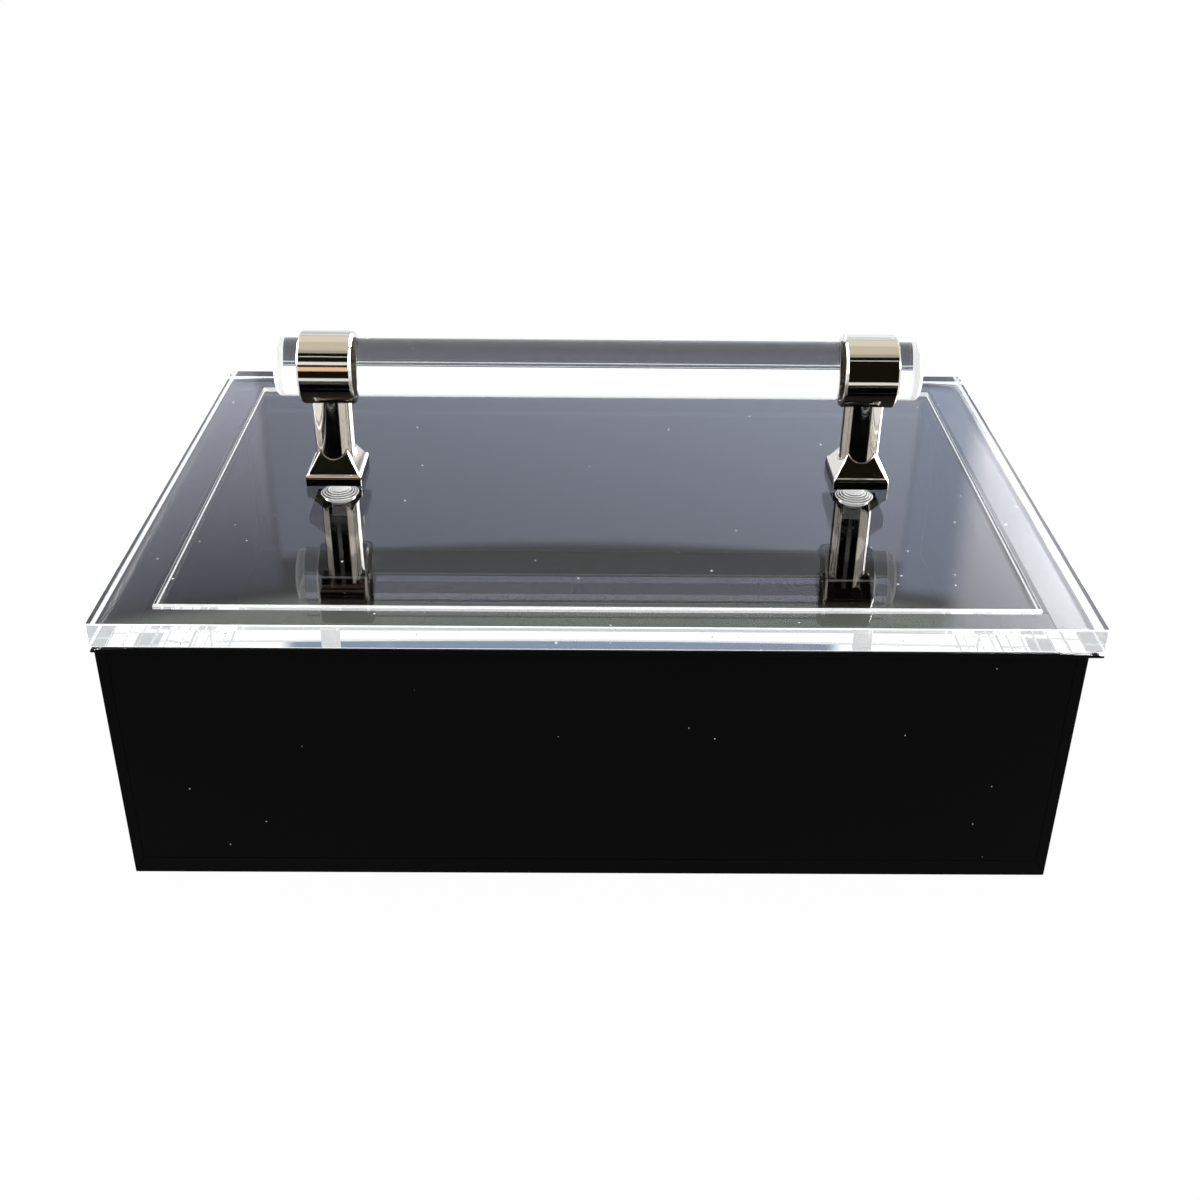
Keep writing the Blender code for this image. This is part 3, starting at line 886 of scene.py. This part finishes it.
@dataclass
class Post(Assembly):
    """One end of the handle: collar, stem, flared foot, grub screw, washer and mount screw."""

    side: Side = Side.LEFT
    body: Body = Body.LID
    smooth_angle: float = math.radians(12)
    collar_bevel: float = 0.45 * MM
    bore_bevel: float = 0.12 * MM
    bore_play: float = 0.06 * MM
    hole_steps: int = 48
    saddle_sink: float = 0.4 * MM
    foot_face: float = 1.5 * MM
    foot_bead: float = 1.2 * MM
    foot_shoulder: float = 0.5 * MM
    flare_height: float = 5.6 * MM
    flare_neck: float = 6.0 * MM
    flare_power: float = 1.08
    band_turn: float = math.radians(25)
    band_rise: float = 0.8 * MM
    weld_bead: float = 0.24 * MM
    weld_steps: int = 32
    ridge: float = 0.26 * MM
    bead_steps: int = 8
    flare_steps: int = 24
    round_steps: int = 192
    washer_bevel: float = 0.25 * MM
    washer_slope: float = 1.75 * MM
    washer_inset: float = 0.25 * MM
    washer_mouth: float = 0.3 * MM
    groove_places: tuple[float, ...] = (0.10, 0.44, 0.78)
    groove_depth: float = 0.16 * MM
    groove_half: float = 0.1

    def build(self) -> None:
        """Make the post's pieces."""
        self.collar()
        self.stem()
        self.foot()
        self.washer()
        self.dress_node(self.side.named("grub_screw"), BLACK_OXIDE)
        self.dress_node(self.side.named("mount_screw"), ZINC)

    def part(self, name: str, maker: bmesh.types.BMesh, node: str, finish: Finish = NICKEL,
             second: Finish | None = None) -> bpy.types.Object:
        """Finish one of the post's smooth pieces, for one CAD node."""
        return self.piece(self.side.named(name), maker, finish, (node,), smooth=True, second=second)

    def collar(self) -> None:
        """Make the collar, with its hole for the grub screw at the rear."""
        node = self.side.named("collar")
        outer, half = half_size(node).z, half_size(node).x
        bore = half_size("handle_rod").z + self.bore_play
        rim, lip = outer - self.collar_bevel, bore + self.bore_bevel
        profile = [(lip, half), (rim, half),
                   (outer, half - self.collar_bevel), (outer, self.collar_bevel - half),
                   (rim, -half), (lip, -half),
                   (bore, self.bore_bevel - half), (bore, half - self.bore_bevel)]
        centre = middle(node)
        maker = ring_bmesh(profile, centre, "X", self.round_steps)
        ring = self.part("collar_ring", maker, node)
        radius = half_size(self.side.named("grub_screw")).x + self.bore_play * 2
        along_y = (Matrix.Translation(centre + Vector((0, outer, 0)))
                   @ Matrix.Rotation(math.pi / 2, 4, "X"))
        cut_away(ring, cylinder_bmesh(radius, outer, along_y, self.hole_steps))
        ring.data.set_sharp_from_angle(angle=self.smooth_angle)

    def stem(self) -> None:
        """Make the round stem, saddled into its collar."""
        node, collar = self.side.named("stem"), self.side.named("collar")
        saddle = half_size(collar).z - self.saddle_sink
        centre, half = middle(node), half_size(node)
        maker = cylinder_bmesh(half.x, half.z * 2, Matrix.Translation(centre), self.round_steps)
        for vertex in maker.verts:
            if vertex.co.z > centre.z:
                across = vertex.co.y - centre.y
                vertex.co.z = middle(collar).z - math.sqrt(saddle ** 2 - across ** 2)
        self.part("post_stem", maker, node)

    def foot(self) -> None:
        """Make the flared foot: a band that leans back slowly, a tight bead and a hollow flare."""
        node = self.side.named("foot")
        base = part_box(node)[0].z
        centre, half = middle(node), half_size(node).xy
        slow = self.band_rise / math.sin(self.band_turn)
        lean = slow * (1 - math.cos(self.band_turn))
        tight = (self.foot_shoulder - lean) / math.cos(self.band_turn)
        shoulder_top = base + self.foot_face + self.foot_bead
        turned = shoulder_top - tight * (1 - math.sin(self.band_turn))
        levels = [(half, base)]
        for step in range(self.bead_steps + 1):
            angle = self.band_turn * step / self.bead_steps
            draw_in = slow * (1 - math.cos(angle))
            levels.append((half - Vector((draw_in, draw_in)),
                           turned - self.band_rise + slow * math.sin(angle)))
        for step in range(1, self.bead_steps + 1):
            angle = self.band_turn + (math.pi / 2 - self.band_turn) * step / self.bead_steps
            draw_in = lean + tight * (math.cos(self.band_turn) - math.cos(angle))
            levels.append((half - Vector((draw_in, draw_in)),
                           turned + tight * (math.sin(angle) - math.sin(self.band_turn))))
        shoulder = levels[-1][0]
        neck = Vector((self.flare_neck / 2, self.flare_neck / 2 * half.y / half.x))
        for step in range(1, self.flare_steps + 1):
            share = step / self.flare_steps
            levels.append((neck + (shoulder - neck) * (1 - share) ** self.flare_power,
                           shoulder_top + self.flare_height * share))
        maker = bmesh.new()
        bmesh.ops.create_grid(maker, x_segments=1, y_segments=1, size=1.0)
        top = maker.faces[:][0]
        place_corners(top, centre, *levels[0])
        for number, level in enumerate(levels[1:]):
            top = lift_face(maker, top, keep=number == 0)
            place_corners(top, centre, *level)
        bmesh.ops.recalc_face_normals(maker, faces=maker.faces)
        self.bevel_ridges(maker, centre)
        self.add_weld(maker, centre, neck, shoulder, shoulder_top)
        self.part("post_foot", maker, node)

    def add_weld(self, foot: bmesh.types.BMesh, centre: Vector, neck: Vector, shoulder: Vector,
                 shoulder_top: float) -> None:
        """Lay a fine rounded bead where the round stem runs out on the foot's flare.

        Args:
            foot: The foot's shape, which takes the bead.
            centre: The foot's middle.
            neck: Half width and half depth where the flare ends.
            shoulder: Half width and half depth where the flare starts.
            shoulder_top: The flare's lowest level.
        """
        stem_radius = half_size(self.side.named("stem")).x
        turns = [math.tau * step / self.weld_steps for step in range(self.weld_steps)]
        bead = ring_bmesh([(stem_radius + self.weld_bead * math.cos(angle),
                            self.weld_bead * math.sin(angle)) for angle in turns],
                          (0, 0, 0), "Z", self.round_steps)
        for vertex in bead.verts:
            flat = vertex.co.xy.normalized() * stem_radius
            kept = max((abs(flat.x) - neck.x) / (shoulder.x - neck.x),
                       (abs(flat.y) - neck.y) / (shoulder.y - neck.y), 0.0)
            share = 1 - kept ** (1 / self.flare_power)
            vertex.co += Vector((centre.x, centre.y, shoulder_top + self.flare_height * share))
        mesh = bpy.data.meshes.new("weld")
        bead.to_mesh(mesh)
        bead.free()
        foot.from_mesh(mesh)
        bpy.data.meshes.remove(mesh)

    def bevel_ridges(self, maker: bmesh.types.BMesh, centre: Vector) -> None:
        """Round the four corner ridges a little, so that they catch the light.

        Args:
            maker: The foot's shape.
            centre: The foot's middle.
        """
        ridges = []
        for edge in maker.edges:
            first, second = (vertex.co - centre for vertex in edge.verts)
            if first.x * second.x > 0 and first.y * second.y > 0 and first.z != second.z:
                ridges.append(edge)
        round_edges(maker, ridges, self.ridge, 2)

    def washer(self) -> None:
        """Make the nylon washer, with a countersunk mouth and a sloping side turned with grooves.

        Its grooves and its mouth take a darker nylon with almost no glow: painted shade.
        """
        node = self.side.named("washer")
        outer, half = half_size(node).x - self.washer_inset, half_size(node).z
        bore = screw_shank_radius(self.side) + self.bore_play
        mouth = bore + self.washer_mouth
        rim_top = Vector((outer - self.washer_slope, half))
        rim_foot = Vector((outer, self.washer_bevel - half))
        profile = [(bore, half - self.washer_mouth), (mouth, half), tuple(rim_top)]
        for share in self.groove_places:
            for place, depth in ((share - self.groove_half, 0.0), (share, self.groove_depth),
                                 (share + self.groove_half, 0.0)):
                if place > 0.0:
                    point = rim_top.lerp(rim_foot, place)
                    profile.append((point.x - depth, point.y))
        profile += [tuple(rim_foot), (outer - self.washer_bevel, -half), (bore, -half)]
        centre = middle(node)
        maker = ring_bmesh(profile, centre, "Z", self.round_steps)
        # Faces in a groove or in the countersunk mouth take the painted shade.
        for face in maker.faces:
            place = face.calc_center_median() - centre
            along = (half - place.z) / (half - rim_foot.y)
            radius = place.xy.length
            in_groove = radius > rim_top.x and any(
                abs(along - share) < self.groove_half for share in self.groove_places)
            face.material_index = 1 if in_groove or bore < radius < mouth else 0
        self.part("nylon_washer", maker, node, NYLON, NYLON_SHADE)


@dataclass(frozen=True)
class LightPanel:
    """A soft-edged patch of light in the room, seen only in reflections. Its angles are degrees.

    Its grade is how much brighter its right edge is than its middle, as a share, and its fade how
    much dimmer its top edge is. Its lean is how far right its upright edges run for each degree up.
    """

    name: str
    colour: str
    strength: float
    facing: Facing
    azimuth: float
    half_width: float
    elevation: float
    half_height: float
    soft: float = 4.0
    grade: float = 0.0
    fade: float = 0.0
    lean: float = 0.0


class Room:
    """The world's nodes while the room is built: light paths, angles and the colour so far.

    The angles are a direction's elevation and its azimuths from rear and front, in degrees. Its
    front share is 0 towards the rear of the room and 1 towards the front.
    """

    def __init__(self, world: bpy.types.World, front_from: float, front_to: float) -> None:
        """Lay the first nodes.

        Args:
            world: The world.
            front_from: The azimuth from the rear at which the front starts.
            front_to: The azimuth at which the rear ends.
        """
        self.bench = bench = NodeBench(world)
        self.path = bench.add("ShaderNodeLightPath").outputs
        place = bench.add("ShaderNodeTexCoord").outputs["Generated"]
        split = bench.add("ShaderNodeSeparateXYZ", {"Vector": place}).outputs
        self.up = bench.maths("DEGREES", bench.maths("ARCSINE", split["Z"]))
        self.across = {}
        for facing in Facing:
            ahead = bench.maths("MULTIPLY", split["Y"], facing.value)
            self.across[facing] = bench.maths("DEGREES", bench.maths("ARCTAN2", split["X"], ahead))
        turned = bench.maths("ABSOLUTE", self.across[Facing.REAR])
        self.front = bench.spread(turned, 0.0, 1.0, front_from, front_to, smooth=True)
        self.colour: Socket | Colour = linear("#000000")

    def lay(self, share: Socket, colour: Socket | Colour) -> None:
        """Lay a colour over the room's."""
        self.colour = self.bench.mix(share, self.colour, colour)

    def with_panel(self, colour: Socket | Colour, panel: LightPanel) -> Socket:
        """Lay one panel of light over a colour.

        Args:
            colour: The colour.
            panel: The panel.

        Returns:
            The colour with the panel.
        """
        bench, plain_across = self.bench, self.across[panel.facing]
        across = plain_across
        if panel.lean:
            above = bench.maths("SUBTRACT", self.up, panel.elevation)
            across = bench.maths("MULTIPLY_ADD", above, -panel.lean, across)
        inside = []
        for angle, centre, half in ((across, panel.azimuth, panel.half_width),
                                    (self.up, panel.elevation, panel.half_height)):
            off = bench.maths("ABSOLUTE", bench.maths("SUBTRACT", angle, centre))
            inside.append(bench.spread(off, 1.0, 0.0, half, half + panel.soft, smooth=True))
        graded = bench.spread(plain_across, 1 - panel.grade, 1 + panel.grade,
                              panel.azimuth - panel.half_width, panel.azimuth + panel.half_width)
        faded = bench.spread(self.up, 1 + panel.fade, 1 - panel.fade,
                             panel.elevation - panel.half_height,
                             panel.elevation + panel.half_height)
        light = bench.mix(1.0, linear(panel.colour, panel.strength), bench.product(graded, faded),
                          blend_type="MULTIPLY")
        return bench.mix(bench.product(*inside), colour, light)


@dataclass(frozen=True)
class PhotoCamera:
    """The camera that took the reference view, solved from the box's own corners."""

    place: Point = (-3.10 * MM, -326.08 * MM, 219.93 * MM)
    yaw: float = 0.0124
    pitch: float = math.radians(29.98)
    roll: float = -0.0123
    focal_pixels: float = 1456.6
    frame_pixels: float = 1200.0
    sensor_width: float = 36.0

    def build(self) -> None:
        """Make the camera and set it as the scene's."""
        turn = (Matrix.Rotation(-self.yaw, 4, "Z")
                @ Matrix.Rotation(math.pi / 2 - self.pitch, 4, "X")
                @ Matrix.Rotation(-self.roll, 4, "Z"))
        data = bpy.data.cameras.new("camera")
        data.sensor_width = self.sensor_width
        data.lens = self.sensor_width * self.focal_pixels / self.frame_pixels
        data.clip_start = 10 * MM
        camera = bpy.data.objects.new("camera", data)
        camera.matrix_world = Matrix.Translation(self.place) @ turn
        bpy.context.scene.collection.objects.link(camera)
        bpy.context.scene.camera = camera


@dataclass
class Studio:
    """The pale floor, and the white room that lights the box evenly and is panelled in mirrors."""

    floor_half_width: float = 1.6
    floor_front: float = -0.36
    floor_rear: float = 2.2
    floor_glow: float = 0.97
    white: str = "#FFFFFF"
    sky: str = "#F4F4F6"
    sky_left: float = 0.33
    sky_right: float = 0.52
    sky_reach: float = 20.0
    dark: str = "#17160F"
    front_azimuths: tuple[float, float] = (95.0, 115.0)
    through_level: float = 1.2
    edge_window: LightPanel = LightPanel("window in the edge", "#8091A5", 1.0, Facing.REAR, -1, 12,
                                         32, 14, 1)
    edge_front: str = "#3F5573"
    edge_bounces: float = 3.5
    second_mirror: float = 0.3
    second_depth: tuple[float, float] = (2.5, 1.0)
    bar_ceiling: str = "#E6E9FF"
    bar_ceiling_level: float = 1.3
    bar_ceiling_up: tuple[float, float] = (29.0, 33.0)
    bar_mirror: str = "#F2F4F4"
    bar_mirror_level: float = 0.45
    bar_mirror_middle: float = 25.5
    bar_mirror_off: tuple[float, float] = (5.3, 6.8)
    bar_faces: tuple[float, float] = (1.5, 3.5)
    bounces: int = 24
    all_bounces: int = 40
    panels: tuple[LightPanel, ...] = field(default_factory=lambda: (
        LightPanel("low rear", "#FFFFFF", 1.05, Facing.REAR, 0, 70, 6, 9, 3),
        LightPanel("rear window", "#E3EAFF", 1.18, Facing.REAR, 0.3, 13.4, 19, 8.5, 0.5, 0.22, 0.1),
        LightPanel("left wall", "#E9EDFF", 1.3, Facing.REAR, -27, 13.3, 19, 9.6, 0.6, 0.25, 0.69),
        LightPanel("rear cornice", "#F4FFF2", 1.0, Facing.REAR, 0, 60, 36, 6.2, 0.8),
        LightPanel("right wall", "#D8E5FF", 1.27, Facing.REAR, 19.2, 5, 19.5, 9, 0.6),
        LightPanel("right curtain", "#F4F5FF", 3.1, Facing.REAR, 21.5, 4.2, 27, 4, 1.7, 0.3, 0.32),
        LightPanel("side window", "#FFFFFF", 85.0, Facing.REAR, 43.5, 19.0, 28, 14, 1.5, lean=0.35),
        LightPanel("ceiling rear", "#F7F0E1", 1.0, Facing.REAR, 0, 88, 60, 14, 3),
        LightPanel("ceiling front", "#B8B5AC", 1.0, Facing.FRONT, 0, 92, 69.5, 6.5, 1),
        LightPanel("ceiling", "#E0D7C4", 1.0, Facing.REAR, 0, 180, 90, 16, 6),
        LightPanel("ceiling lamp", "#FFFFFF", 1.2, Facing.FRONT, 0, 50, 51.5, 0.6, 0.5),
        LightPanel("high strip", "#FFFFFF", 1.05, Facing.FRONT, -14, 12, 31, 3.5, 2),
        LightPanel("warm strip", "#FFD0AE", 1.1, Facing.FRONT, -14, 12, 13.5, 4.5, 3),
        LightPanel("right window", "#FFF8EE", 10.0, Facing.FRONT, 75, 28, 22, 18, 8),
        LightPanel("left window", "#FFF8F0", 7.0, Facing.FRONT, -105, 28, 22, 18, 8),
    ))

    def build(self) -> None:
        """Set up the floor, the world, the light paths and the camera."""
        self.floor()
        self.world()
        cycles = bpy.context.scene.cycles
        cycles.max_bounces = self.all_bounces
        cycles.glossy_bounces = self.bounces
        cycles.transmission_bounces = self.bounces
        bpy.context.scene.view_settings.view_transform = "Standard"
        PhotoCamera().build()

    def floor(self) -> None:
        """Lay the floor: white to the eye, with a soft shadow round the box."""
        maker = bmesh.new()
        size = Vector((self.floor_half_width * 2, self.floor_rear - self.floor_front, 1))
        place = Matrix.Translation((0, self.floor_front + size.y / 2, 0))
        bmesh.ops.create_grid(maker, x_segments=1, y_segments=1, size=0.5,
                              matrix=place @ Matrix.Diagonal(size).to_4x4())
        floor = make_object("floor", maker)
        material = bpy.data.materials.new("matte white floor")
        bench = NodeBench(material)
        path = bench.add("ShaderNodeLightPath").outputs
        paper = bench.add("ShaderNodeBsdfDiffuse", {"Color": linear(self.white)})
        level = bench.spread(path["Is Transmission Ray"], 1.0, self.through_level)
        glow = bench.add("ShaderNodeEmission", {"Color": linear(self.white), "Strength": level})
        amount = bench.maths("MULTIPLY", path["Is Camera Ray"], self.floor_glow)
        for ray in ("Is Glossy Ray", "Is Transmission Ray"):
            amount = bench.maths("MAXIMUM", amount, path[ray])
        surface = bench.add("ShaderNodeMixShader", {
            0: amount, 1: paper.outputs[0], 2: glow.outputs[0]})
        bench.add("ShaderNodeOutputMaterial", {"Surface": surface.outputs[0]})
        floor.data.materials.append(material)

    def world(self) -> None:
        """Make the room: white to the eye, even for soft light, panelled in reflections."""
        world = bpy.data.worlds.new("studio")
        bpy.context.scene.world = world
        room = Room(world, *self.front_azimuths)
        world.cycles.sampling_method = "NONE"
        self.paint(room)
        for panel in self.panels:
            room.colour = room.with_panel(room.colour, panel)
        self.dim_second_mirror(room)
        self.even_out_bar(room)
        self.show_through(room)
        room.lay(room.bench.maths("MAXIMUM", room.path["Is Camera Ray"],
                                  room.path["Is Diffuse Ray"]), linear(self.white))
        light = room.bench.add("ShaderNodeBackground", {"Color": room.colour})
        room.bench.add("ShaderNodeOutputWorld", {"Surface": light.outputs[0]})

    def paint(self, room: Room) -> None:
        """Grade the rear of the room from dim left to bright right, and keep its front dark.

        Args:
            room: The room.
        """
        level = room.bench.spread(room.across[Facing.REAR], self.sky_left, self.sky_right,
                                  -self.sky_reach, self.sky_reach)
        room.colour = room.bench.mix(1.0, linear(self.sky), level, blend_type="MULTIPLY")
        room.lay(room.front, linear(self.dark))

    def dim_second_mirror(self, room: Room) -> None:
        """Dim what is mirrored twice or three times, as a contrasty photograph does.

        Args:
            room: The room.
        """
        again = room.bench.maths("COMPARE", room.path["Glossy Depth"], *self.second_depth)
        level = room.bench.spread(again, 1.0, self.second_mirror)
        room.colour = room.bench.mix(1.0, room.colour, level, blend_type="MULTIPLY")

    def even_out_bar(self, room: Room) -> None:
        """Make the bar's upper half slate blue and its mirror image plain grey.

        Through the bar the lid mirrors the ceiling, and in the mirrored bar the ceiling and the
        floor crowd together. Both are steeper than anything that the lid mirrors directly.

        Args:
            room: The room.
        """
        bench, depth = room.bench, room.path["Transmission Depth"]
        seen_once = bench.maths("COMPARE", room.path["Glossy Depth"], 1.0, 0.5)
        high = bench.spread(room.up, 0.0, 1.0, *self.bar_ceiling_up, smooth=True)
        off_middle = bench.maths("ABSOLUTE", bench.maths("SUBTRACT", room.up,
                                                         self.bar_mirror_middle))
        steep = bench.spread(off_middle, 0.0, 1.0, *self.bar_mirror_off, smooth=True)
        few = bench.maths("LESS_THAN", depth, self.bar_faces[1])
        held = bench.product(room.path["Is Transmission Ray"], few)
        passed = bench.maths("SUBTRACT", bench.maths("GREATER_THAN", depth, self.bar_faces[0]),
                             held)
        room.lay(bench.product(seen_once, passed, high),
                 linear(self.bar_ceiling, self.bar_ceiling_level))
        room.lay(bench.product(seen_once, held, steep),
                 linear(self.bar_mirror, self.bar_mirror_level))

    def show_through(self, room: Room) -> None:
        """Show the white background straight through the bar and along the lid's edges.

        Args:
            room: The room.
        """
        bench, depth = room.bench, room.path["Glossy Depth"]
        leaving = room.path["Is Transmission Ray"]
        straight = bench.maths("LESS_THAN", depth, 0.5)
        piped = bench.maths("GREATER_THAN", depth, self.edge_bounces)
        white = linear(self.white, self.through_level)
        behind = bench.mix(piped, white, room.with_panel(white, self.edge_window))
        room.lay(bench.product(piped, leaving, room.front), linear(self.edge_front))
        room.lay(bench.product(bench.maths("MAXIMUM", straight, piped), leaving,
                               bench.maths("SUBTRACT", 1.0, room.front)), behind)


def main() -> None:
    """Build the studio and every sub-assembly."""
    logging.basicConfig(level=logging.INFO, format="%(name)s %(message)s")
    Studio().build()
    Carcass().build()
    Flange().build()
    ClearLid().build()
    HandleBar().build()
    for side in Side:
        Post(side=side).build()


if __name__ == "__main__":
    main()
